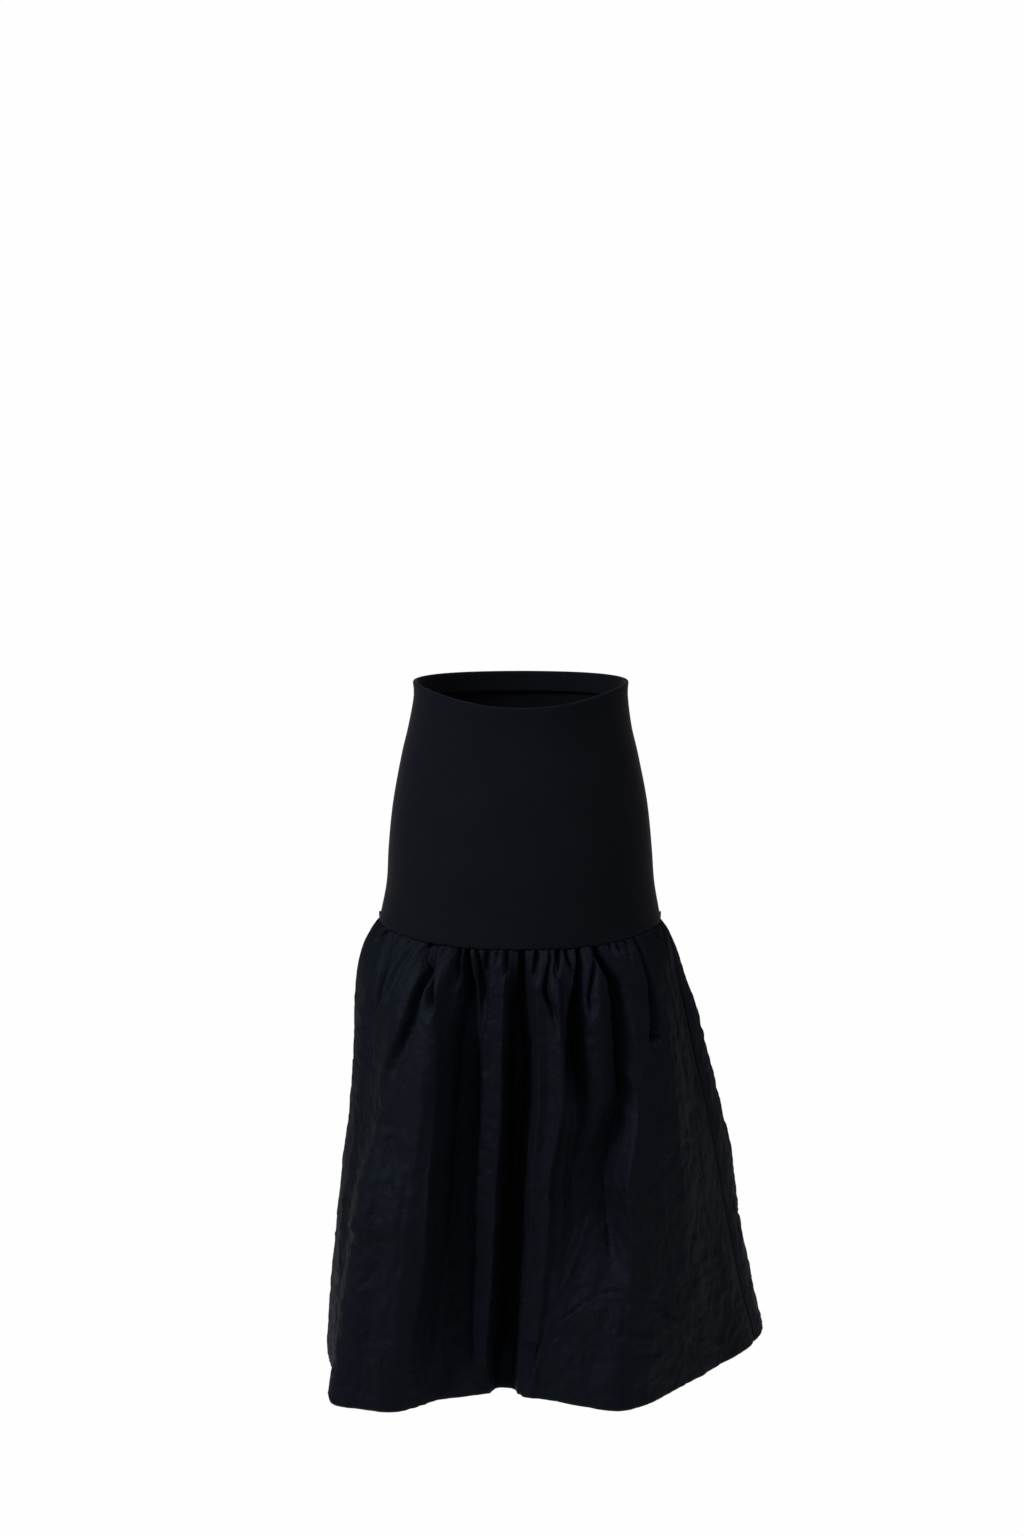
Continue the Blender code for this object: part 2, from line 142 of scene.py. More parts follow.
# lines down the large folds, in order round the skirt: turns at the four drops of foldTurnDrops,
# heights in mm at the six of foldHeightDrops, how sharp the cloth turns there (0 is round, 1.2 is
# a crease), and how many degrees it leans round the body for each mm of depth, where an edge
# hangs over a fold
foldTurnDrops = (0.0, 0.3, 0.55, 1.0)
foldHeightDrops = (0.0, 0.12, 0.30, 0.55, 0.85, 1.0)
foldLines = (
    ((-84, -84, -84, -84), (0, 0, 0, 0, 0, 0), 0.3, 0),
    ((-67, -68, -66, -58), (1, 5, 7, 7, 5, 1), 1, 0),
    ((-60, -61, -59, -51), (0, 0, 0, 0, 0, 0), 0.4, 0),
    ((-48, -46, -44, -41), (-2, -6, -3, 2, 1, 0), 0, 0),
    ((-42, -38, -34.5, -36), (0, 0, 5, 8, 5, 0), 0.8, 0),
    ((-36, -30.3, -28.5, -31.5), (0, 5, 20, 35, 19, 1), 1.2, 0),
    ((-31, -27.5, -26.4, -28), (-2, -12, -27, -33, -20, -4), 0.2, -0.19),
    ((-24, -21.5, -22, -20.5), (-2, -12, -26, -33, -18, -3), 0.2, 0),
    ((-15, -17, -18.2, -17.5), (0, -2, -4, -5, -2, 0), 0.7, 0),
    ((-8, -9, -10.6, -13.5), (1, 4, 7, 8, 4, 1), 1.1, 0),
    ((-3, -5.5, -8, -11), (-3, -22, -60, -84, -72, -24), 0.2, 0),
    ((2, 2.5, -1, -4.5), (-3, -22, -60, -84, -72, -24), 0.2, 0),
    ((7, 7.4, 3.8, -1), (1, 4, 7, 8, 5, 1), 1.2, 0),
    ((11, 11.4, 7.6, 3), (1, 2, 3, 4, 3, 1), 0.5, 0),
    ((17, 16.4, 10.4, 5), (1, 6, 8, 5, 2, 1), 1, 0),
    ((22, 20, 15, 7), (-2, -11, -15, -12, -4, -1), 0.3, 0),
    ((29, 27, 20.5, 11), (-2, -17, -31, -30, -8, -1), 0.3, 0),
    ((36, 33, 27, 16), (1, -3, -17, -45, -10, -1), 0.4, 0),
    ((44, 44, 32, 21), (-1, -10, -25, -40, -8, 0), 0.4, 0.08),
    ((51, 47, 36.5, 30), (1, 3, 4, 3, 2, 1), 0.8, 0),
    ((63, 63, 61, 57), (1, 5, 8, 8, 6, 2), 0.6, 0),
    ((76, 76, 76, 74), (0, -3, -4, -4, -2, 0), 0.8, 0),
    ((86, 86, 86, 86), (-2, -8, -11, -10, -6, -1), 0, 0),
    ((98, 98, 98, 98), (0, 0, 0, 0, 0, 0), 0.5, 0),
    ((112, 110, 108, 109), (0, 5, 10, 13, 9, 4), 0.4, 0),
    ((120, 120, 119, 119), (0, 3, 5, 5, 4, 1), 1.1, 0),
    ((126, 124, 123, 124), (-2, -11, -24, -32, -20, -5), 0.2, -0.05),
    ((134, 135, 135, 133), (-2, -10, -22, -30, -17, -4), 0.2, 0.12),
    ((142, 142, 141, 142), (1, 3, 6, 7, 5, 2), 1.1, 0),
    ((159, 161, 164, 168), (1, 5, 9, 11, 9, 3), 1.1, 0),
    ((168, 171, 172, 176), (-2, -14, -38, -56, -44, -8), 0.2, 0),
    ((174, 179, 182, 185), (-2, -14, -38, -56, -44, -8), 0.2, 0),
    ((184, 188, 191, 195), (1, 4, 6, 8, 7, 2), 1.1, 0),
    ((206, 207, 208, 209), (1, 5, 9, 11, 8, 3), 0.8, 0),
    ((214, 213, 213, 217), (-2, -10, -20, -27, -16, -5), 0.2, -0.12),
    ((223, 223, 223, 226), (-2, -11, -22, -30, -18, -5), 0.2, 0),
    ((232, 232, 231, 233), (1, 3, 5, 6, 4, 1), 1.1, 0),
    ((248, 249, 250, 250), (1, 3, 5, 6, 4, 1), 0.4, 0),
    ((264, 264, 264, 264), (0, 0, 0, 0, 0, 0), 0.3, 0),
)

# gather valleys of the front: a shape, then stations down the valley, each a drop, a turn,
# the half width in mm and the depth in mm; a shape is the power and the sharpness of its section
valleyShapes = {"slit": (1.0, 2.6), "soft": (2.0, 2.0), "pocket": (3.2, 1.7)}
frontValleys = (
    ("slit", ((0, -74, 6, 1), (0.01, -75.1, 7, 4.5), (0.026, -76.4, 7, 4), (0.04, -77.2, 6, 0))),
    ("slit", ((0, -69.8, 6, 1), (0.012, -69.1, 7, 3.5), (0.051, -63.3, 8, 6.5),
        (0.115, -60.9, 7, 4), (0.17, -60.4, 6, 0))),
    ("slit", ((0, -66.3, 5, 1.5), (0.01, -66, 5, 2), (0.022, -65.5, 5, 0))),
    ("slit", ((0, -59.2, 5, 1.5), (0.01, -59.2, 5, 2.5), (0.024, -59.4, 5, 0))),
    ("soft", ((0, -56.2, 5, 1.2), (0.02, -55.9, 6, 2.5), (0.098, -55.6, 9, 2),
        (0.15, -55.6, 9, 0))),
    ("slit", ((0, -50.8, 5, 1.2), (0.012, -50.6, 6, 3), (0.027, -50.3, 6, 2.5), (0.04, -50, 6, 0))),
    ("pocket", ((0, -48.6, 4, 2), (0.01, -49.2, 4, 5), (0.051, -43.2, 5, 7), (0.092, -42.5, 7, 7),
        (0.166, -43, 10, 5.5), (0.237, -45.2, 13, 4), (0.34, -50, 16, 0))),
    ("soft", ((0, -45.6, 4, 1.2), (0.041, -41.2, 5, 4.5), (0.088, -37.6, 6, 6),
        (0.112, -36.2, 6, 5.5), (0.132, -35.4, 5, 0))),
    ("slit", ((0, -41.2, 4, 1.5), (0.01, -40.6, 4, 2.5), (0.024, -40, 4, 0))),
    ("slit", ((0, -36.6, 4, 1.5), (0.01, -36.2, 4, 2), (0.02, -36, 4, 0))),
    ("soft", ((0, -33.8, 4, 2), (0.02, -32.9, 5, 5), (0.06, -31.2, 6, 4), (0.095, -30.2, 6, 0))),
    ("pocket", ((0, -29.6, 3, 3), (0.015, -28.9, 4, 6), (0.038, -27.6, 5, 8), (0.093, -25.9, 8, 8),
        (0.169, -25.8, 11, 6), (0.3, -26.5, 16, 3.5), (0.48, -28, 18, 0))),
    ("slit", ((0, -25.2, 4, 2), (0.031, -22.4, 6, 5.5), (0.088, -20.1, 7, 4), (0.13, -19.6, 7, 0))),
    ("soft", ((0, -18.7, 4, 1.5), (0.02, -18.6, 5, 3.5), (0.125, -18.2, 7, 2.5),
        (0.2, -18.2, 8, 0))),
    ("slit", ((0, -12.8, 4, 1.5), (0.012, -12.7, 5, 2.5), (0.034, -12.4, 5, 0))),
    ("soft", ((0, -8, 4, 1.5), (0.02, -7.9, 4, 3.5), (0.045, -7.7, 4, 3), (0.058, -7.6, 4, 0))),
    ("pocket", ((0, 0.5, 3, 3), (0.012, 0.5, 4, 6.5), (0.061, 0.4, 5, 8.5), (0.109, -0.8, 8, 8),
        (0.155, -1.8, 12, 6), (0.26, -2.2, 18, 0))),
    ("slit", ((0, 8.9, 4, 2), (0.012, 8.6, 6, 6), (0.04, 7.4, 6, 5), (0.08, 6.4, 7, 0))),
    ("slit", ((0, 16.2, 4, 1.5), (0.02, 15.4, 4, 4), (0.048, 13.3, 5, 5.5), (0.09, 11.9, 6, 6.5),
        (0.123, 14.1, 6, 5), (0.175, 15.8, 6, 0))),
    ("soft", ((0, 20.8, 4, 2), (0.012, 20.2, 5, 4.5), (0.04, 18, 5, 3.5), (0.062, 17.4, 5, 0))),
    ("slit", ((0, 25.1, 4, 1.5), (0.01, 25.1, 5, 5), (0.04, 25.6, 5, 4), (0.06, 25.8, 4, 0))),
    ("pocket", ((0, 31.6, 3, 3), (0.014, 31.2, 4, 6.5), (0.039, 30.2, 5, 9), (0.079, 28.2, 7, 11),
        (0.125, 26.6, 10, 11), (0.191, 25.1, 13, 9), (0.256, 24.4, 15, 6.5), (0.4, 23, 18, 0))),
    ("slit", ((0, 39.6, 4, 2), (0.014, 39, 5, 4.5), (0.05, 35.8, 6, 6.5), (0.1, 33, 6, 6),
        (0.13, 32.4, 6, 5), (0.146, 32.3, 5, 0))),
    ("pocket", ((0, 40.8, 3, 2), (0.014, 41, 4, 6), (0.044, 41.6, 6, 8.5), (0.08, 44.4, 8, 9.5),
        (0.161, 44, 9, 8.5), (0.255, 45, 11, 5.5), (0.38, 45.2, 13, 0))),
    ("slit", ((0, 48, 4, 2), (0.012, 47.8, 4, 2.5), (0.026, 47.5, 4, 0))),
    ("slit", ((0, 51.4, 4, 1.5), (0.012, 51.4, 5, 3.5), (0.037, 51.2, 5, 0))),
    ("slit", ((0, 55.9, 4, 1.5), (0.01, 55.8, 5, 4), (0.03, 54.7, 5, 3), (0.044, 54.2, 5, 0))),
    ("slit", ((0, 61.3, 4, 1.5), (0.02, 61.2, 5, 4), (0.06, 60.6, 6, 5), (0.11, 60, 7, 6),
        (0.14, 59.7, 8, 6.5))),
    ("pocket", ((0.09, 60, 3, 0), (0.13, 59.8, 5, 4), (0.18, 58.9, 8, 7.5), (0.222, 57.2, 8, 7.5),
        (0.24, 56.4, 6, 0))),
    ("slit", ((0, 68, 5, 1), (0.012, 68.2, 6, 1.8), (0.03, 69, 6, 0))),
    ("slit", ((0, 74.2, 5, 1.5), (0.014, 75.4, 5, 3), (0.033, 79.1, 5, 2.5), (0.052, 79.8, 5, 0))),
    ("slit", ((0, 86, 5, 1.5), (0.01, 85.2, 7, 4), (0.035, 80.5, 8, 6), (0.1, 79.9, 9, 5),
        (0.18, 81.5, 9, 0))),
)

# gathers of the back: widths, reaches down and depths in mm repeat these uneven patterns
backGathers = {
    "seed": 11,
    "widths": (1.0, 0.6, 1.4, 0.8, 1.2, 0.7, 1.7, 0.9, 1.1, 0.65, 1.3, 0.95, 1.05),
    "repeats": 3,
    "reaches": (0.05, 0.20, 0.03, 0.12, 0.30, 0.06, 0.17, 0.025, 0.10, 0.24, 0.04),
    "depths": (4.0, 7.0, 2.5, 5.0, 8.5, 3.5, 6.5, 2.5, 4.5, 7.5, 3.0),
    "shapes": ("slit", "pocket", "slit", "soft", "pocket", "slit", "soft", "slit"),
    # each pattern's value is multiplied by a draw from its range
    "widthRange": (0.8, 1.25),
    "reachRange": (0.8, 1.3),
    "depthRange": (0.8, 1.15),
    "leanRange": (-22, 22),  # degrees for a reach down the whole panel
    "halfWidth": (3.5, 14),  # mm, and mm for each unit of reach
}

# form of a pressed crease: endFade is a share of its length, the rest are shares of its width
creaseForm = {"endFade": 0.18, "edge": 0.4, "settle": 3, "reach": 14, "ridge": 0.5}

# pressed creases and wrinkles: width in mm, height in mm, 1 or -1 where the cloth steps up towards
# one side and 0 where it is a plain ridge or groove, then turn and drop along the line
frontCreases = (
    (5, 1.4, -1, ((-66, 0.05), (-62.5, 0.15), (-62.5, 0.3), (-63, 0.45), (-59, 0.6), (-54, 0.74),
        (-51, 0.86))),
    (5, 1, -1, ((-72, 0.12), (-73, 0.3), (-73, 0.45), (-68, 0.62), (-62, 0.78))),
    (3, 0.9, 1, ((-51, 0.868), (-46, 0.869), (-40, 0.862), (-34, 0.853))),
    (3, 0.5, 1, ((-49, 0.968), (-44, 0.964), (-40.5, 0.98))),
    (3, 0.7, 1, ((-25, 0.799), (-18, 0.792), (-11, 0.789))),
    (8, 1.2, 0, ((-57, 0.555), (-48, 0.515), (-39.6, 0.492))),
    (7, 1, 0, ((-39.6, 0.492), (-33, 0.53), (-32, 0.545))),
    (12, 3.6, -1, ((-60, 0.635), (-50, 0.625), (-44, 0.622), (-30, 0.606))),
    (8, 1.1, 0, ((-32.5, 0.679), (-36, 0.75), (-40.2, 0.822))),
    (6, -1.4, 0, ((-38, 0.66), (-44, 0.735), (-50, 0.8))),
    (5, 1.2, 0, ((29, 0.59), (24, 0.65), (17, 0.735), (13, 0.775))),
    (4, -1, 0, ((31, 0.625), (26, 0.69), (20, 0.745))),
    (4, 0.9, 0, ((22, 0.56), (15, 0.64), (9, 0.7))),
    (4, -0.8, 0, ((24, 0.6), (17, 0.675), (12, 0.72))),
    (4, -1.6, 0, ((13.2, 0.835), (17, 0.81), (21.2, 0.787), (25.3, 0.757), (32, 0.749))),
    (4, 1.3, -1, ((25.3, 0.751), (32, 0.747), (38, 0.762), (43.1, 0.787))),
    (4, -1.7, 0, ((40, 0.772), (43.1, 0.789), (46, 0.815), (49.4, 0.835), (53.5, 0.858))),
    (5, 1.4, 0, ((45, 0.822), (49, 0.853), (52, 0.862))),
    (4, -1.2, 0, ((48.6, 0.87), (53.9, 0.905), (61.5, 0.938))),
    (6, 1, 0, ((14, 0.86), (12, 0.885), (10.5, 0.905))),
    (9, 1.3, 0, ((26, 0.868), (33, 0.852), (42, 0.868))),
    (9, -1.3, 0, ((28, 0.905), (36, 0.892), (43, 0.905))),
    (3, 0.8, 0, ((9, 0.375), (12, 0.381), (15, 0.377))),
    (3, 0.8, 0, ((9, 0.395), (12, 0.402), (14, 0.398))),
    (7, 1, 0, ((50, 0.36), (49, 0.5), (51.3, 0.69), (54, 0.78))),
    (6, -0.9, 0, ((44, 0.47), (47, 0.56), (53, 0.66), (58, 0.72))),
    (5, -0.9, 0, ((72, 0.6), (66, 0.68), (60, 0.73))),
    (4, 0.8, 0, ((58, 0.68), (68, 0.7), (78, 0.69))),
    (7, -1.6, -1, ((76, 0.05), (83, 0.16), (84, 0.3), (82, 0.42))),
    (6, 1.2, 0, ((70, 0.05), (74, 0.16), (77, 0.28), (77, 0.4))),
    (6, 1, 1, ((66, 0.22), (70, 0.34), (70, 0.5), (72, 0.62))),
)

backCreases = (
    (5, 1.2, 1, ((104, 0.1), (102, 0.3), (106, 0.52), (110, 0.7))),
    (4, -1.4, 0, ((96, 0.7), (104, 0.735), (114, 0.72))),
    (4, 1.1, 0, ((118, 0.84), (128, 0.805), (138, 0.815), (146, 0.85))),
    (3, 0.8, 1, ((148, 0.872), (160, 0.868), (172, 0.875))),
    (5, -1.3, 0, ((150, 0.58), (158, 0.65), (168, 0.69))),
    (5, 1.2, 0, ((146, 0.61), (155, 0.69), (165, 0.73))),
    (4, 1, 0, ((186, 0.77), (196, 0.745), (206, 0.765), (214, 0.8))),
    (5, -1.4, 0, ((190, 0.81), (200, 0.79), (210, 0.815))),
    (5, 1.2, -1, ((236, 0.12), (238, 0.32), (234, 0.52), (230, 0.68))),
    (4, -1.1, 0, ((214, 0.62), (224, 0.665), (236, 0.65))),
    (3, 0.8, 1, ((222, 0.885), (236, 0.882), (248, 0.888))),
    (6, 1.1, 0, ((248, 0.3), (252, 0.46), (250, 0.62))),
    (5, -1, 0, ((122, 0.36), (128, 0.47), (126, 0.58))),
    (5, 1, 0, ((176, 0.34), (181, 0.45), (179, 0.57))),
)

# small swellings, such as the rounded end of a gather: turn, drop, half width, half height and
# rise in mm
frontSwells = (
    (-34.8, 0.15, 7, 7, 2.4), (-28.6, 0.052, 4, 5, 1.2), (-7.7, 0.07, 5, 5, 1.5),
    (25.7, 0.076, 5, 6, 1.6), (32.2, 0.165, 6, 8, 2.2), (54, 0.058, 5, 6, 1.4),
    (53.5, 0.232, 7, 9, 2), (17.2, 0.075, 4, 5, 1), (49.5, 0.03, 4, 6, 1.2),
    (60.5, 0.27, 9, 9, 1.5), (-45, 0.565, 22, 16, 2), (-44, 0.745, 16, 18, 2.2),
    (-40, 0.905, 30, 12, 1.4), (33, 0.8, 26, 14, 2.2), (34, 0.935, 20, 12, 1.6),
    (13.5, 0.93, 14, 12, 1.4), (64, 0.8, 20, 26, 1.8), (50, 0.58, 18, 30, 1.6),
    (-12, 0.7, 9, 26, 1),
)
backSwells = (
    (108, 0.56, 22, 22, 2), (122, 0.86, 24, 14, 1.8), (157, 0.52, 18, 30, 1.8),
    (165, 0.83, 22, 16, 2), (201, 0.6, 20, 26, 1.8), (205, 0.86, 24, 14, 1.8),
    (244, 0.76, 22, 20, 1.8), (184, 0.15, 7, 8, 2), (131, 0.11, 6, 7, 1.8), (226, 0.17, 7, 9, 2),
)

# the hem's left lobe curls under below this line of turns and drops
hemCurl = {
    "line": (
        (-29, 1.02), (-25.8, 0.998), (-21.7, 0.979), (-18.1, 0.946), (-15, 0.925), (-12.7, 0.895),
        (-12.0, 0.86),
    ),
    "width": 14,  # mm below the line where the curl is full
    "reach": 60,  # mm below the line where it stops
    "slope": 0.55,
    "startFade": (0.02, 0.3),
    "endFade": 0.10,
}


def readTable(rows, at, column):
    places, values = rows[:, 0], rows[:, column]
    order = np.arange(len(rows))
    before, after = np.maximum(order - 1, 0), np.minimum(order + 1, len(rows) - 1)
    slopes = (values[after] - values[before]) / (places[after] - places[before])
    low = np.clip(np.searchsorted(places, at, side="right") - 1, 0, len(rows) - 2)
    span = places[low + 1] - places[low]
    share = (at - places[low]) / span
    rise = 3 * share**2 - 2 * share**3
    leave = (share**3 - 2 * share**2 + share) * span * slopes[low]
    arrive = (share**3 - share**2) * span * slopes[low + 1]
    return values[low] * (1 - rise) + values[low + 1] * rise + leave + arrive


def ease(low, high, at):
    share = np.clip((at - low) / (high - low), 0, 1)
    return share * share * (3 - 2 * share)


def wrap(turn):
    return (turn + 180.0) % 360.0 - 180.0


def edgeHeight(level, dip, turn):
    depth = np.where(np.cos(np.radians(turn)) > 0, dip[0], dip[1])
    return level - depth * (1 - np.abs(np.sin(np.radians(turn))) ** dip[2])


def yokeRadius(turn, drop):
    side, ahead = np.sin(np.radians(turn)), np.cos(np.radians(turn))
    rows = yoke["sections"]
    left, right, front, back = (readTable(rows, drop, column) for column in (1, 2, 3, 4))
    halfWidth = np.where(side > 0, right, left)
    halfDepth = np.where(ahead > 0, front, back)
    return 1 / np.hypot(side / halfWidth, ahead / halfDepth)


hem = skirt["hem"]
hemCircle = np.vstack((hem[-2:] - (360, 0), hem, hem[:2] + (360, 0)))


def looseRadius(turn, drop):
    side = np.sin(np.radians(turn))
    left, right, middle = (readTable(skirt["spread"], drop, column) for column in (1, 2, 3))
    share = np.where(side > 0, right, left) * side**2 + middle * (1 - side**2)
    seam = yokeRadius(turn, 1.0)
    return seam + (readTable(hemCircle, wrap(turn), 1) - seam) * share


def between(values, places, at):
    # smooth value between two places, level at each of them
    places, values = np.array(places, float), np.array(values, float)
    low = np.clip(np.searchsorted(places, at, side="left") - 1, 0, len(places) - 2)
    share = np.clip((at - places[low]) / (places[low + 1] - places[low]), 0, 1)
    return values[low] + (values[low + 1] - values[low]) * (3 * share**2 - 2 * share**3)


def lineCoordinate(turn):
    # where a turn at the seam lies among the fold lines: a line's number and the share beyond it
    seamTurns = [line[0][0] for line in foldLines]
    seamTurns = [seamTurns[-1] - 360] + seamTurns + [seamTurns[0] + 360]
    return np.interp(turn, seamTurns, np.arange(-1, len(foldLines) + 1))


def followFolds(coordinate, drop):
    # cloth that runs down between the fold lines: turn, height in metres and lean in degrees
    count, drop = len(foldLines), drop.ravel()
    turns = np.array([between(line[0], foldTurnDrops, drop) for line in foldLines])
    heights = np.array([between(line[1], foldHeightDrops, drop) for line in foldLines])
    sharps, leans = (np.array([line[column] for line in foldLines])[:, None] for column in (2, 3))
    first = np.floor(coordinate).astype(int)
    share = (coordinate - first)[:, None]
    here, after = first % count, (first + 1) % count
    start = turns[here] + 360 * (first // count)[:, None]
    end = turns[after] + 360 * ((first + 1) // count)[:, None]
    rise = 3 * share**2 - 2 * share**3
    leave, arrive = share**3 - 2 * share**2 + share, share**3 - share**2
    rise = rise + sharps[here] * leave + sharps[after] * arrive
    height = heights[here] + (heights[after] - heights[here]) * rise
    lean = -leans[here] * heights[here] * (1 - rise) - leans[after] * heights[after] * rise
    return (start + (end - start) * share).T, height.T * mm, lean.T


def valleyHeight(valleys, turn, drop, radius):
    height = np.zeros_like(radius)
    for shape, stations in valleys:
        rows = np.array(stations, float)
        power, sharp = valleyShapes[shape]
        here = np.clip(drop, rows[0, 0], rows[-1, 0])
        centre, half, depth = (readTable(rows, here, column) for column in (1, 2, 3))
        within = (drop >= rows[0, 0]) & (drop <= rows[-1, 0])
        depth = np.maximum(depth, 0) * skirt["gatherDepth"] * within
        across = np.radians(wrap(turn - centre)) * radius / mm
        across = np.hypot(across, skirt["gatherRound"]) / (half * skirt["gatherWidth"])
        height -= np.clip(1 - across**power, 0, 1) ** sharp * depth * mm
    return height


def alongLine(line, turn, drop, radius, panelHeight):
    # nearest point of a line on the cloth: signed distance in mm, and its share of the way along
    scale = np.radians(1) * radius / mm
    best = np.full_like(radius, np.inf)
    signed, along = np.zeros_like(radius), np.zeros_like(radius)
    points = np.array(line, float)
    runs = np.diff(points[:, 0]) * skirt["degreeLength"], np.diff(points[:, 1]) * panelHeight / mm
    lengths = np.hypot(*runs)
    starts = np.concatenate(((0,), np.cumsum(lengths)))
    for index in range(len(points) - 1):
        fromX = wrap(turn - points[index, 0]) * scale
        fromY = (drop - points[index, 1]) * panelHeight / mm
        runX = (points[index + 1, 0] - points[index, 0]) * scale
        runY = (points[index + 1, 1] - points[index, 1]) * panelHeight / mm
        length2 = runX**2 + runY**2
        share = np.clip((fromX * runX + fromY * runY) / length2, 0, 1)
        distance = np.hypot(fromX - share * runX, fromY - share * runY)
        side = np.sign(runX * fromY - runY * fromX)
        nearer = distance < best
        best = np.where(nearer, distance, best)
        signed = np.where(nearer, distance * side, signed)
        along = np.where(nearer, (starts[index] + share * lengths[index]) / starts[-1], along)
    return signed, along


def creaseHeight(creases, turn, drop, radius, panelHeight):
    height = np.zeros_like(radius)
    for width, rise, step, line in creases:
        signed, along = alongLine(line, turn, drop, radius, panelHeight)
        fade = ease(0, creaseForm["endFade"], along) * ease(0, creaseForm["endFade"], 1 - along)
        if step:
            side, edge = signed * step, width * creaseForm["edge"]
            settled = np.exp(-np.clip(side, 0, None) / (width * creaseForm["settle"]))
            profile = ease(-edge, edge, side) * settled
            fade = fade * (np.abs(signed) < width * creaseForm["reach"])
        else:
            profile = np.exp(-((signed / (width * creaseForm["ridge"])) ** 2))
        height += profile * fade * rise * skirt["creaseDepth"] * mm
    return height


def swellHeight(swells, turn, drop, radius, panelHeight):
    height = np.zeros_like(radius)
    for centreTurn, centreDrop, halfAcross, halfDown, rise in swells:
        across = np.radians(wrap(turn - centreTurn)) * radius / mm / halfAcross
        down = (drop - centreDrop) * panelHeight / mm / halfDown
        height += np.exp(-(across**2 + down**2) * body["swellFall"]) * rise * mm
    return height


def curlHeight(turn, drop, radius, panelHeight):
    below, along = alongLine(hemCurl["line"], turn, drop, radius, panelHeight)
    fade = ease(*hemCurl["startFade"], along) * ease(0.0, hemCurl["endFade"], 1 - along)
    fade = fade * (below < hemCurl["reach"])
    return -np.clip(below, 0, hemCurl["width"]) * hemCurl["slope"] * mm * fade


def rollIn(distance):
    # how far the cloth rolls in at this distance from its seam
    share = np.clip(distance / body["rollReach"], 0, 1)
    return body["seamRoll"] * (1 - np.sqrt(1 - (1 - share) ** 2))


def backValleys():
    pick = random.Random(backGathers["seed"])

    def fromPattern(pattern, index):
        return backGathers[pattern][index % len(backGathers[pattern])]

    widths = backGathers["widths"] * backGathers["repeats"]
    widths = [width * pick.uniform(*backGathers["widthRange"]) for width in widths]
    ends = np.cumsum(widths) / sum(widths)
    valleys = []
    for index, end in enumerate(ends[:-1]):
        turn = 90 + 180 * end
        reach = fromPattern("reaches", index) * pick.uniform(*backGathers["reachRange"])
        depth = fromPattern("depths", index) * pick.uniform(*backGathers["depthRange"])
        shape = fromPattern("shapes", index)
        lean = pick.uniform(*backGathers["leanRange"]) * reach
        half = backGathers["halfWidth"][0] + backGathers["halfWidth"][1] * reach
        # drop, turn, half width and depth, as in frontValleys
        stations = (
            (0.0, turn, 4, 1.5),
            (0.25 * reach, turn + 0.3 * lean, 4.5, depth),
            (0.65 * reach, turn + 0.7 * lean, half, depth * 0.9),
            (reach, turn + lean, half * 1.15, 0.0),
        )
        valleys.append((shape, stations))
    return valleys


def place(turn, radius, height):
    angle = np.radians(turn)
    return np.stack((radius * np.sin(angle), -radius * np.cos(angle), height + 0 * radius), axis=-1)


def seamScallop(turn):
    return sum(rise * np.sin(turn * rate + start) for rise, rate, start in body["seamWaves"]) * mm


def seamDraw(turn, radius):
    # the cloth draws in beside the side seams
    away = np.radians(90 - np.abs(wrap(turn)) % 180)
    reach = np.abs(away) * radius / mm
    return -body["sideDraw"] * np.exp(-((reach / body["sideDrawReach"]) ** 2))


def evenColumns(points, coordinates, columns):
    # coordinates that share out the cloth's length, closer where it bends, the same in every row
    steps = np.diff(points, axis=1)
    lengths = np.linalg.norm(steps, axis=2)
    headings = np.unwrap(np.arctan2(steps[..., 1], steps[..., 0]), axis=1)
    bends = np.abs(np.gradient(headings, axis=1)) * skirt["bendShare"] * mm
    weights = (lengths + bends).mean(axis=0)
    reach = skirt["columnSmoothing"]
    window = np.ones(2 * reach + 1) / (2 * reach + 1)
    weights = np.convolve(np.pad(weights, reach, mode="edge"), window, mode="valid")
    total = np.concatenate(((0,), np.cumsum(weights)))
    return np.interp(np.linspace(0, total[-1], columns), total, coordinates)


def gridNormals(points):
    normals = np.cross(np.gradient(points, axis=0), np.gradient(points, axis=1))
    return normals / np.maximum(np.linalg.norm(normals, axis=2, keepdims=True), 1e-12)


def crumple(points, sizes):
    # soft dents and sharp little wrinkles, one layer for each size
    apart, ridge = 7.3, 0.35  # how far apart the layers read the noise, and height of a sharp ridge
    heights = np.zeros(points.shape[:2])
    for number, (wave, stretch, rise, sharp) in enumerate(sizes):
        flat = points.reshape(-1, 3) / (wave * mm)
        values = [noise.noise(Vector((x + apart * number, y, z / stretch))) for x, y, z in flat]
        values = np.array(values).reshape(heights.shape)
        heights += rise * mm * ((ridge - np.abs(values)) if sharp else values)
    return heights


def sheetFaces(at, outward):
    # the four-sided faces of a grid of vertex numbers, turned to face outward or inward
    before, below, beyond, right = at[:-1, :-1], at[1:, :-1], at[1:, 1:], at[:-1, 1:]
    corners = (before, below, beyond, right) if outward else (before, right, beyond, below)
    return np.stack(corners, axis=-1).reshape(-1, 4).tolist()


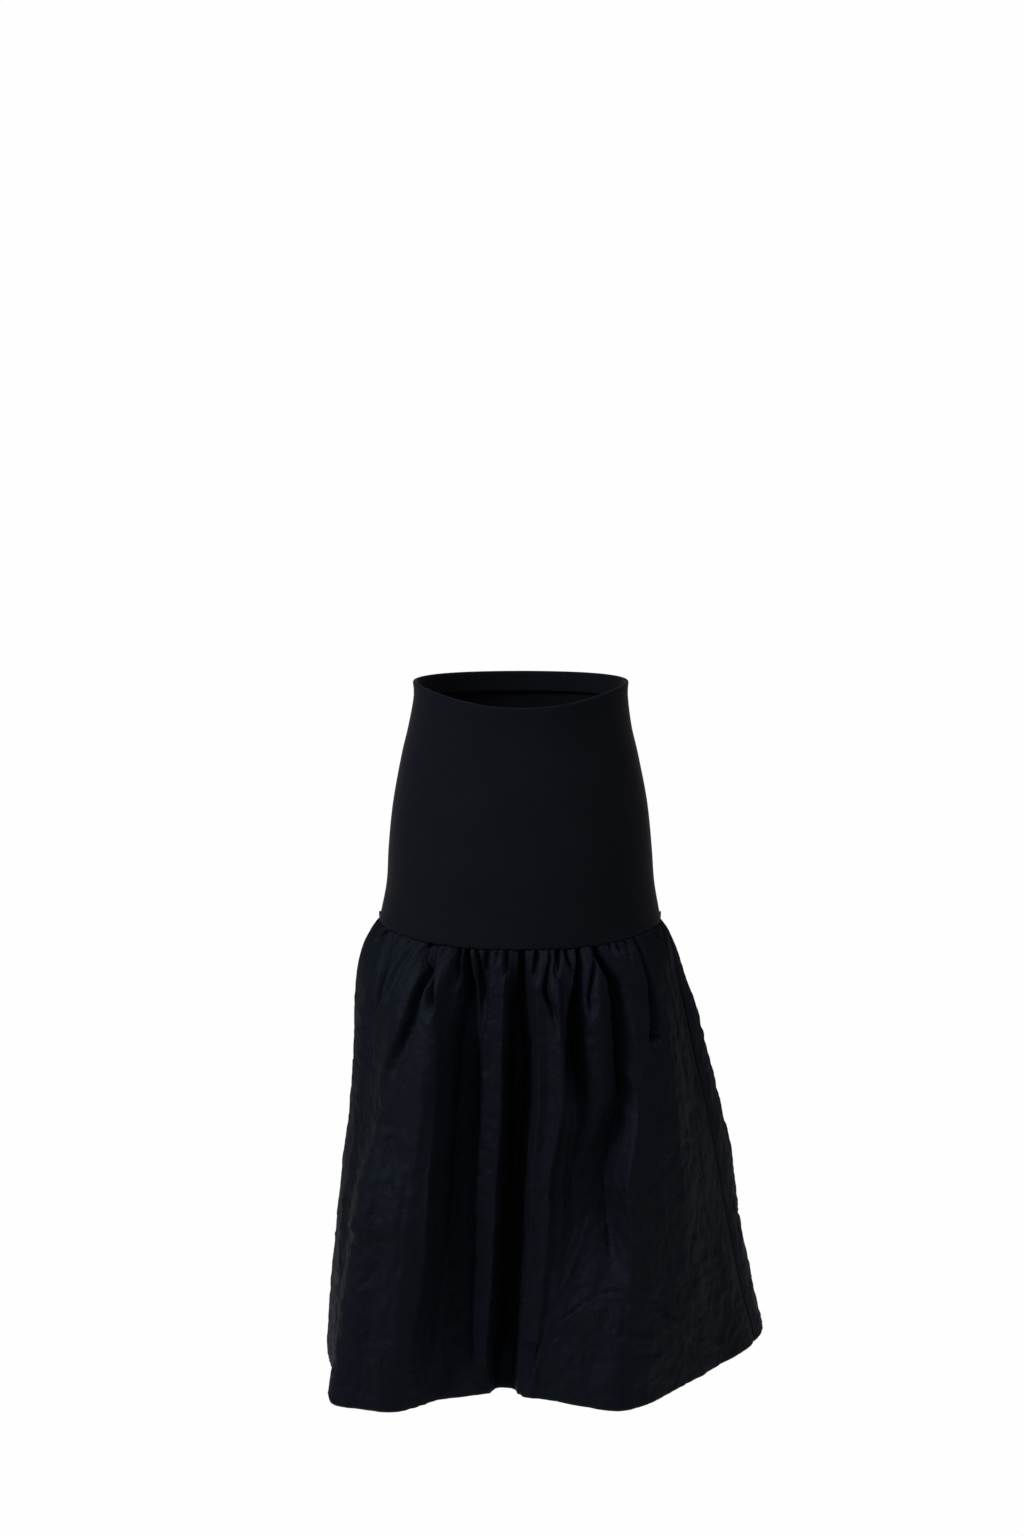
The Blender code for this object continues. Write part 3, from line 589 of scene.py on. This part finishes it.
def clothShell(name, points, thickness, sink, material, flat):
    # closed cloth: a fine outer grid, and a coarser inner one that keeps behind it
    rows, columns = points.shape[:2]
    inner = points - gridNormals(points) * thickness - sink
    inner = inner[::2, ::2]
    innerRows, innerColumns = inner.shape[:2]
    outerAt = np.arange(rows * columns).reshape(rows, columns)
    innerAt = np.arange(innerRows * innerColumns).reshape(innerRows, innerColumns) + rows * columns
    faces = sheetFaces(outerAt, True) + sheetFaces(innerAt, False)
    rims = (
        (outerAt[0], innerAt[0], True),
        (outerAt[-1], innerAt[-1], False),
        (outerAt[:, 0], innerAt[:, 0], False),
        (outerAt[:, -1], innerAt[:, -1], True),
    )
    for outerEdge, innerEdge, forward in rims:
        for index in range(len(innerEdge) - 1):
            outerPart = outerEdge[2 * index:2 * index + 3].tolist()
            innerPart = innerEdge[index:index + 2].tolist()
            face = outerPart + innerPart[::-1]
            faces.append(face if forward else face[::-1])
    mesh = bpy.data.meshes.new(name)
    mesh.from_pydata(np.vstack((points.reshape(-1, 3), inner.reshape(-1, 3))).tolist(), [], faces)
    mesh.polygons.foreach_set("use_smooth", [True] * len(mesh.polygons))
    # flat cloth in metres, so that the threads keep their size
    corner = 0.02
    across = np.linspace(corner, corner + flat[0], columns)[None, :] + np.zeros((rows, 1))
    down = np.linalg.norm(np.diff(points, axis=0), axis=2).mean(axis=1)
    down = corner + np.concatenate(((0,), np.cumsum(down)))[:, None] + np.zeros((1, columns))
    flatPlaces = np.stack((across, down), axis=-1)
    places = np.vstack((flatPlaces.reshape(-1, 2), flatPlaces[::2, ::2].reshape(-1, 2)))
    layer = mesh.uv_layers.new(name="UVMap")
    corners = np.zeros(len(mesh.loops), dtype=int)
    mesh.loops.foreach_get("vertex_index", corners)
    layer.data.foreach_set("uv", places[corners].ravel())
    mesh.materials.append(material)
    mesh.validate()
    mesh.update()
    piece = bpy.data.objects.new(name, mesh)
    bpy.context.scene.collection.objects.link(piece)
    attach(piece, "root")
    return piece


def rowDrops():
    # closer rows at the gathers and towards the hem, where the small forms are
    runs = skirt["rowRuns"]
    ends = [begin for begin, number in runs[1:]] + [1.0]
    return np.concatenate([
        np.linspace(begin, end, number, endpoint=end == 1.0)
        for (begin, number), end in zip(runs, ends)
    ])


def withSideEdges(points):
    # the edges at the side seams turn in
    normals = gridNormals(points)
    first = [points[:, :1] - normals[:, :1] * depth for depth in body["sideEdge"]]
    last = [points[:, -1:] - normals[:, -1:] * depth for depth in body["sideEdge"][::-1]]
    return np.concatenate(first + [points] + last, axis=1)


def keepBehind(points, mainRows):
    # how far the inner grid steps in so that it never shows through a narrow valley
    radius = np.hypot(points[..., 0], points[..., 1])
    padded = np.pad(radius, 1, mode="edge")
    rows, columns = radius.shape
    shifts = [(down, across) for down in range(3) for across in range(3)]
    lowest = np.min([padded[r:r + rows, c:c + columns] for r, c in shifts], axis=0)
    step = np.zeros_like(radius)
    step[mainRows] = (radius - lowest)[mainRows]
    outward = points * (1, 1, 0) / radius[..., None]
    return outward * step[..., None]


def gapTurn(start, drop):
    # half the gap at a side seam, in degrees
    return math.degrees(body["seamGap"] / 2 / float(yokeRadius(float(start), drop)))


def allowanceRows(edge, outward, stations):
    # the seam allowance inside: each station is mm inwards and mm up
    return [edge - outward * inward * mm + upward * up * mm for inward, up in stations]


def makeSkirt(name, start, valleys, creases, swells, material, flat):
    panelHeight = body["seamHeight"] - skirt["hemHeight"]
    gap = gapTurn(start, 1.0)
    bottom = skirt["hemHeight"] + skirt["hemRound"]
    drop = rowDrops()[:, None]

    def clothAt(coordinates):
        # turn with its lean, distance from the axis and height of the cloth
        turn, height, lean = followFolds(coordinates, drop)
        radius = looseRadius(turn, drop)
        height = height + readTable(skirt["puff"], drop, 1)
        height = height + valleyHeight(valleys, turn, drop, radius)
        height = height + creaseHeight(creases, turn, drop, radius, panelHeight)
        height = height + swellHeight(swells, turn, drop, radius, panelHeight)
        if start < 0:  # the front
            height = height + curlHeight(turn, drop, radius, panelHeight)
        height = height - rollIn(drop * panelHeight)
        top = edgeHeight(body["seamHeight"], body["seamDip"], turn) - body["seamGap"]
        top = top + seamScallop(turn)
        return turn + lean, radius + height + seamDraw(turn, radius), top + (bottom - top) * drop

    edges = lineCoordinate(np.array((start + gap, start + 180 - gap)))
    columns = skirt["columns"] - 2 * len(body["sideEdge"])
    coordinates = np.linspace(edges[0], edges[1], skirt["trialColumns"])
    coordinates = evenColumns(place(*clothAt(coordinates)), coordinates, columns)
    turn, radius, height = clothAt(coordinates)
    points = place(turn, radius, height)
    free = sum(share * ease(begin, full, drop) for share, begin, full in skirt["calm"])
    fromSide = np.minimum(np.arange(columns), np.arange(columns)[::-1])
    free = free * ease(0, skirt["calmColumns"], fromSide)
    points = points + gridNormals(points) * (crumple(points, skirt["crumple"]) * free)[..., None]
    # seam allowance, turned up inside the yoke
    first, outward = points[0], place(turn[0], 1.0 + 0 * turn[0], 0.0)
    allowance = allowanceRows(first, outward, skirt["allowance"])
    # rounded hem and the turning inside, which stays within the folds
    last, outward = points[-1], place(turn[-1], 1.0 + 0 * turn[-1], 0.0)
    inner = looseRadius(turn[-1], 1.0) - skirt["hemInset"]
    half = (np.hypot(last[:, 0], last[:, 1]) - inner) / 2
    turned = []
    for step in range(1, skirt["hemRows"] + 1):
        angle = math.pi * step / skirt["hemRows"]
        inward = (half * (1 - math.cos(angle)))[:, None]
        turned.append(last - outward * inward - upward * skirt["hemRound"] * math.sin(angle))
    up = np.linspace(0, 1, skirt["turningRows"])[1:, None]
    turn, height, lean = followFolds(coordinates, 1 - up * skirt["turning"] / panelHeight)
    nearest = looseRadius(turn[-1], 1 - skirt["turning"] / panelHeight) + height[-1]
    freeEnd = np.minimum(inner - skirt["turningLean"], nearest - skirt["turningRoom"])
    turning = place(turn + lean, inner + (freeEnd - inner) * up, bottom + skirt["turning"] * up)
    turned = np.concatenate((turned, turning))
    points = withSideEdges(np.concatenate((allowance, points, turned), axis=0))
    sink = keepBehind(points, slice(len(allowance), len(allowance) + len(drop)))
    return clothShell(name, points, skirt["thickness"], sink, material, flat)


def makeYoke(name, start, material):
    gap, columns = gapTurn(start, 0.0), yoke["columns"] - 2 * len(body["sideEdge"])
    turns = np.clip(start + np.linspace(0, 180, columns), start + gap, start + 180 - gap)
    drops = np.concatenate((np.linspace(*yoke["rows"]), yoke["seamRows"]))
    turn, drop = turns[None, :], drops[:, None]
    top = edgeHeight(0.0, body["waistDip"], turn)
    seam = edgeHeight(body["seamHeight"], body["seamDip"], turn) + seamScallop(turn)
    depth = top - seam
    radius = yokeRadius(turn, drop) - rollIn((1 - drop) * depth)
    dimples = swellHeight(yoke["dimples"], turn, drop, radius, yoke["depth"])
    radius = radius + seamDraw(turn, radius) + dimples
    points = place(turn + 0 * radius, radius, top - depth * drop)
    free = ease(0.0, yoke["calm"][0], drop) * ease(0.0, yoke["calm"][1], 1 - drop)
    points = points + gridNormals(points) * (crumple(points, yoke["crumple"]) * free)[..., None]
    first, last = points[0], points[-1]
    outward = place(turns, 1.0 + 0 * turns, 0.0)
    # turned waist edge, from its free end inside up to the roll
    folded = []
    for step in range(yoke["turningRows"]):
        below = yoke["turning"] * (1 - step / yoke["turningRows"])
        folded.append(first - outward * 2 * yoke["roll"] - upward * below)
    for step in range(yoke["rollRows"]):
        angle = math.pi * (1 - step / yoke["rollRows"])
        inward = outward * yoke["roll"] * (1 - math.cos(angle))
        folded.append(first - inward + upward * yoke["roll"] * math.sin(angle))
    allowance = allowanceRows(last, outward, yoke["allowance"])
    points = withSideEdges(np.concatenate((folded, points, allowance), axis=0))
    sink = np.zeros_like(points)
    return clothShell(name, points, yoke["thickness"], sink, material, yoke["flat"])


def newGroup(name, inputs, output):
    group = bpy.data.node_groups.new(name, "ShaderNodeTree")
    for label, value in inputs:
        socket = group.interface.new_socket(label, in_out="INPUT", socket_type="NodeSocketFloat")
        socket.default_value = value
    group.interface.new_socket(output, in_out="OUTPUT", socket_type="NodeSocketFloat")
    start, end = group.nodes.new("NodeGroupInput"), group.nodes.new("NodeGroupOutput")
    return group, start, end


def mathNode(tree, operation, *values):
    node = tree.nodes.new("ShaderNodeMath")
    node.operation = operation
    for index, value in enumerate(values):
        if isinstance(value, (int, float)):
            node.inputs[index].default_value = value
        else:
            tree.links.new(value, node.inputs[index])
    return node.outputs[0]


def makeWeaveGroup():
    # threads over and under each other, on the flat cloth
    inputs = (("Across mm", 0.5), ("Down mm", 0.5), ("Unevenness", 0.2))
    group, start, end = newGroup("clothThreads", inputs, "Height")
    uv = group.nodes.new("ShaderNodeUVMap")
    uv.uv_map = "UVMap"
    split = group.nodes.new("ShaderNodeSeparateXYZ")
    group.links.new(uv.outputs["UV"], split.inputs[0])
    waver = group.nodes.new("ShaderNodeTexNoise")
    waver.inputs["Scale"].default_value = 260.0
    waver.inputs["Detail"].default_value = 1.0
    group.links.new(uv.outputs["UV"], waver.inputs["Vector"])
    drift = mathNode(group, "SUBTRACT", waver.outputs["Fac"], 0.5)
    drift = mathNode(group, "MULTIPLY", drift, start.outputs["Unevenness"])
    waves = []
    for axis, label in ((0, "Across mm"), (1, "Down mm")):
        distance = mathNode(group, "MULTIPLY", split.outputs[axis], 1000.0)
        count = mathNode(group, "DIVIDE", distance, start.outputs[label])
        phase = mathNode(group, "MULTIPLY", mathNode(group, "ADD", count, drift), math.pi)
        waves.append(mathNode(group, "SINE", phase))
    product = mathNode(group, "MULTIPLY", waves[0], waves[1])
    group.links.new(mathNode(group, "MULTIPLY_ADD", product, 0.5, 0.5), end.inputs["Height"])
    return group


def makeWrinkleGroup():
    # fine wrinkles too small for the mesh
    inputs = (("Size mm", 12.0), ("Stretch", 1.5))
    group, start, end = newGroup("clothWrinkles", inputs, "Height")
    coordinates = group.nodes.new("ShaderNodeTexCoord")
    split = group.nodes.new("ShaderNodeSeparateXYZ")
    group.links.new(coordinates.outputs["Object"], split.inputs[0])
    scale = mathNode(group, "DIVIDE", 1000.0, start.outputs["Size mm"])
    joined = group.nodes.new("ShaderNodeCombineXYZ")
    for axis in range(2):
        wide = mathNode(group, "MULTIPLY", split.outputs[axis], scale)
        group.links.new(wide, joined.inputs[axis])
    tall = mathNode(group, "DIVIDE", scale, start.outputs["Stretch"])
    group.links.new(mathNode(group, "MULTIPLY", split.outputs[2], tall), joined.inputs[2])
    waver = group.nodes.new("ShaderNodeTexNoise")
    waver.inputs["Scale"].default_value = 1.0
    waver.inputs["Detail"].default_value = 3.0
    waver.inputs["Roughness"].default_value = 0.55
    waver.inputs["Distortion"].default_value = 0.6
    group.links.new(joined.outputs[0], waver.inputs["Vector"])
    folded = mathNode(group, "ABSOLUTE", mathNode(group, "SUBTRACT", waver.outputs["Fac"], 0.5))
    folded = mathNode(group, "SUBTRACT", 1.0, mathNode(group, "MULTIPLY", folded, 3.0))
    group.links.new(folded, end.inputs["Height"])
    return group


def makeDriftGroup():
    # slow change of tone over the cloth
    inputs = (("Size mm", 120.0), ("Contrast", 1.0))
    group, start, end = newGroup("toneDrift", inputs, "Mask")
    coordinates = group.nodes.new("ShaderNodeTexCoord")
    waver = group.nodes.new("ShaderNodeTexNoise")
    waver.inputs["Detail"].default_value = 4.0
    waver.inputs["Roughness"].default_value = 0.6
    group.links.new(coordinates.outputs["Object"], waver.inputs["Vector"])
    scale = mathNode(group, "DIVIDE", 1000.0, start.outputs["Size mm"])
    group.links.new(scale, waver.inputs["Scale"])
    centred = mathNode(group, "SUBTRACT", waver.outputs["Fac"], 0.5)
    centred = mathNode(group, "MULTIPLY", centred, start.outputs["Contrast"])
    mask = mathNode(group, "ADD", centred, 0.5)
    mask.node.use_clamp = True
    group.links.new(mask, end.inputs["Mask"])
    return group


def makeLintGroup():
    # a few pale specks of lint
    inputs = (("Spacing mm", 40.0), ("Size mm", 0.6), ("Share", 0.3))
    group, start, end = newGroup("lintSpecks", inputs, "Mask")
    coordinates = group.nodes.new("ShaderNodeTexCoord")
    cells = group.nodes.new("ShaderNodeTexVoronoi")
    group.links.new(coordinates.outputs["Object"], cells.inputs["Vector"])
    scale = mathNode(group, "DIVIDE", 1000.0, start.outputs["Spacing mm"])
    group.links.new(scale, cells.inputs["Scale"])
    reach = mathNode(group, "DIVIDE", start.outputs["Size mm"], start.outputs["Spacing mm"])
    near = mathNode(group, "LESS_THAN", cells.outputs["Distance"], reach)
    tint = group.nodes.new("ShaderNodeSeparateColor")
    group.links.new(cells.outputs["Color"], tint.inputs[0])
    chosen = mathNode(group, "LESS_THAN", tint.outputs[0], start.outputs["Share"])
    group.links.new(mathNode(group, "MULTIPLY", near, chosen), end.inputs["Mask"])
    return group


weaveGroup, wrinkleGroup = makeWeaveGroup(), makeWrinkleGroup()
driftGroup, lintGroup = makeDriftGroup(), makeLintGroup()

# the values of each node group stand in the order of its inputs
jerseyFinish = {
    "dark": (0.0053, 0.0061, 0.0092),
    "light": (0.0075, 0.0086, 0.0127),
    "lint": (0.03, 0.032, 0.04),
    "roughness": 0.9,
    "specular": 0.05,
    "shineTint": (0.9, 0.95, 1.0),
    "sheen": 0.13,
    "sheenRoughness": 0.34,
    "sheenTint": (1.0, 0.94, 1.0),
    "threads": (0.9, 0.65, 0.25),
    "threadDepth": 0.06,  # mm
    "wrinkles": (9.0, 1.2),
    "wrinkleDepth": 0.10,
    "drift": (60.0, 1.6),
    "lintSpread": (34.0, 0.55, 0.10),
}
taffetaFinish = {
    "dark": (0.0027, 0.0036, 0.0060),
    "light": (0.0038, 0.0051, 0.0092),
    "lint": (0.16, 0.17, 0.19),
    "roughness": 0.58,
    "specular": 0.11,
    "shineTint": (0.62, 0.77, 1.0),
    "sheen": 0.01,
    "sheenRoughness": 0.4,
    "sheenTint": (0.7, 0.8, 1.0),
    "threads": (0.42, 0.46, 0.5),
    "threadDepth": 0.05,
    "wrinkles": (13.0, 1.4),
    "wrinkleDepth": 0.8,
    "drift": (55.0, 2.2),
    "lintSpread": (60.0, 0.7, 0.06),
}


def placeGroup(tree, group, values):
    node = tree.nodes.new("ShaderNodeGroup")
    node.node_tree = group
    for label, value in zip([socket.name for socket in node.inputs], values):
        node.inputs[label].default_value = value
    return node.outputs[0]


def mixColour(tree, mask, first, second):
    node = tree.nodes.new("ShaderNodeMix")
    node.data_type = "RGBA"
    tree.links.new(mask, node.inputs["Factor"])
    for socket, value in ((node.inputs[6], first), (node.inputs[7], second)):
        if isinstance(value, tuple):
            socket.default_value = (*value, 1)
        else:
            tree.links.new(value, socket)
    return node.outputs[2]


def makeCloth(name, finish):
    material = bpy.data.materials.new(name)
    material.use_nodes = True
    tree = material.node_tree
    shader = tree.nodes["Principled BSDF"]
    shader.inputs["Roughness"].default_value = finish["roughness"]
    shader.inputs["Specular IOR Level"].default_value = finish["specular"]
    shader.inputs["Specular Tint"].default_value = (*finish["shineTint"], 1)
    shader.inputs["Sheen Weight"].default_value = finish["sheen"]
    shader.inputs["Sheen Roughness"].default_value = finish["sheenRoughness"]
    shader.inputs["Sheen Tint"].default_value = (*finish["sheenTint"], 1)
    drift = placeGroup(tree, driftGroup, finish["drift"])
    lint = placeGroup(tree, lintGroup, finish["lintSpread"])
    colour = mixColour(tree, drift, finish["dark"], finish["light"])
    tree.links.new(mixColour(tree, lint, colour, finish["lint"]), shader.inputs["Base Color"])
    reliefs = (
        (wrinkleGroup, finish["wrinkles"], finish["wrinkleDepth"]),
        (weaveGroup, finish["threads"], finish["threadDepth"]),
    )
    normal = None
    for group, values, depth in reliefs:
        bump = tree.nodes.new("ShaderNodeBump")
        bump.inputs["Distance"].default_value = depth * mm
        tree.links.new(placeGroup(tree, group, values), bump.inputs["Height"])
        if normal is not None:
            tree.links.new(normal, bump.inputs["Normal"])
        normal = bump.outputs["Normal"]
    tree.links.new(normal, shader.inputs["Normal"])
    return material


jersey = makeCloth("blackJersey", jerseyFinish)
taffeta = makeCloth("blueBlackTaffeta", taffetaFinish)
print("finishes made")

yokeFront = makeYoke("yoke_front_cloth", -90, jersey)
yokeBack = makeYoke("yoke_back_cloth", 90, jersey)
for piece, node in ((yokeFront, "yoke_front"), (yokeBack, "yoke_back")):
    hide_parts(node)
print("yoke made")

skirtFront = makeSkirt(
    "skirt_front_cloth", -90, frontValleys, frontCreases, frontSwells, taffeta, skirt["flat"])
skirtBack = makeSkirt(
    "skirt_back_cloth", 90, backValleys(), backCreases, backSwells, taffeta, skirt["backFlat"])
sheets = (
    (skirtFront, "skirt_front", skirt["flat"]),
    (skirtBack, "skirt_back", skirt["backFlat"]),
)
for piece, node, flat in sheets:
    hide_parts(node)
print("gathered skirt made")

studio = {
    "floor": -1.05,
    "floorReach": 14.0,
    "floorTone": 0.8,
    "world": 0.05,
    "backdrop": 0.99,
    # name, place, aims at, width, height, power
    "lights": (
        ("key", (-2.7, -1.7, 1.9), (0, 0, -0.4), 1.2, 2.0, 84),
        ("top", (0, -0.8, 3.2), (0, 0, -0.4), 2.4, 2.4, 55),
        ("rightFill", (3.0, -1.6, 0.5), (0, 0, -0.45), 1.6, 2.4, 16),
    ),
}


def seenByCamera(tree, seen, unseen, output):
    path, mix = tree.nodes.new("ShaderNodeLightPath"), tree.nodes.new("ShaderNodeMixShader")
    tree.links.new(path.outputs["Is Camera Ray"], mix.inputs[0])
    tree.links.new(unseen, mix.inputs[1])
    tree.links.new(seen, mix.inputs[2])
    tree.links.new(mix.outputs[0], output)


def makeWorld():
    world = bpy.data.worlds.new("studio")
    bpy.context.scene.world = world
    world.use_nodes = True
    tree = world.node_tree
    tree.nodes.clear()
    output = tree.nodes.new("ShaderNodeOutputWorld")
    seen, unseen = tree.nodes.new("ShaderNodeBackground"), tree.nodes.new("ShaderNodeBackground")
    seen.inputs["Color"].default_value = (studio["backdrop"],) * 3 + (1,)
    unseen.inputs["Strength"].default_value = studio["world"]
    seenByCamera(tree, seen.outputs[0], unseen.outputs[0], output.inputs["Surface"])


def makeFloor():
    mesh = bpy.data.meshes.new("floor")
    reach, level = studio["floorReach"], studio["floor"]
    corners = [(x * reach, y * reach, level) for x, y in ((-1, -1), (1, -1), (1, 1), (-1, 1))]
    mesh.from_pydata(corners, [], [(0, 1, 2, 3)])
    floor = bpy.data.objects.new("floor", mesh)
    bpy.context.scene.collection.objects.link(floor)
    material = bpy.data.materials.new("paleFloor")
    material.use_nodes = True
    tree = material.node_tree
    shader = tree.nodes["Principled BSDF"]
    shader.inputs["Base Color"].default_value = (studio["floorTone"],) * 3 + (1,)
    shader.inputs["Roughness"].default_value = 1.0
    shader.inputs["Specular IOR Level"].default_value = 0.0
    glow = tree.nodes.new("ShaderNodeEmission")
    glow.inputs["Color"].default_value = (studio["backdrop"],) * 3 + (1,)
    surface = tree.nodes["Material Output"].inputs["Surface"]
    seenByCamera(tree, glow.outputs[0], shader.outputs[0], surface)
    mesh.materials.append(material)


def makeLights():
    for name, spot, goal, width, height, power in studio["lights"]:
        light = bpy.data.lights.new(name, "AREA")
        light.shape, light.size, light.size_y, light.energy = "RECTANGLE", width, height, power
        lamp = bpy.data.objects.new(name, light)
        lamp.location = spot
        lamp.rotation_euler = (Vector(goal) - Vector(spot)).to_track_quat("-Z", "Y").to_euler()
        bpy.context.scene.collection.objects.link(lamp)


photographer = {
    "place": (-0.01023, -3.5, 0.52),
    "tilt": 79.9,  # degrees up from straight down
    "lens": 72.14,
    "sensor": (24.0, 36.0),  # width, height
}


def makeCamera():
    lens = bpy.data.cameras.new("camera")
    lens.sensor_fit = "VERTICAL"
    lens.sensor_width, lens.sensor_height = photographer["sensor"]
    lens.lens = photographer["lens"]
    camera = bpy.data.objects.new("camera", lens)
    camera.location = photographer["place"]
    camera.rotation_euler = (math.radians(photographer["tilt"]), 0, 0)
    bpy.context.scene.collection.objects.link(camera)
    bpy.context.scene.camera = camera
    bpy.context.scene.view_settings.view_transform = "Standard"


makeWorld()
makeFloor()
makeLights()
makeCamera()
print("studio and camera made")
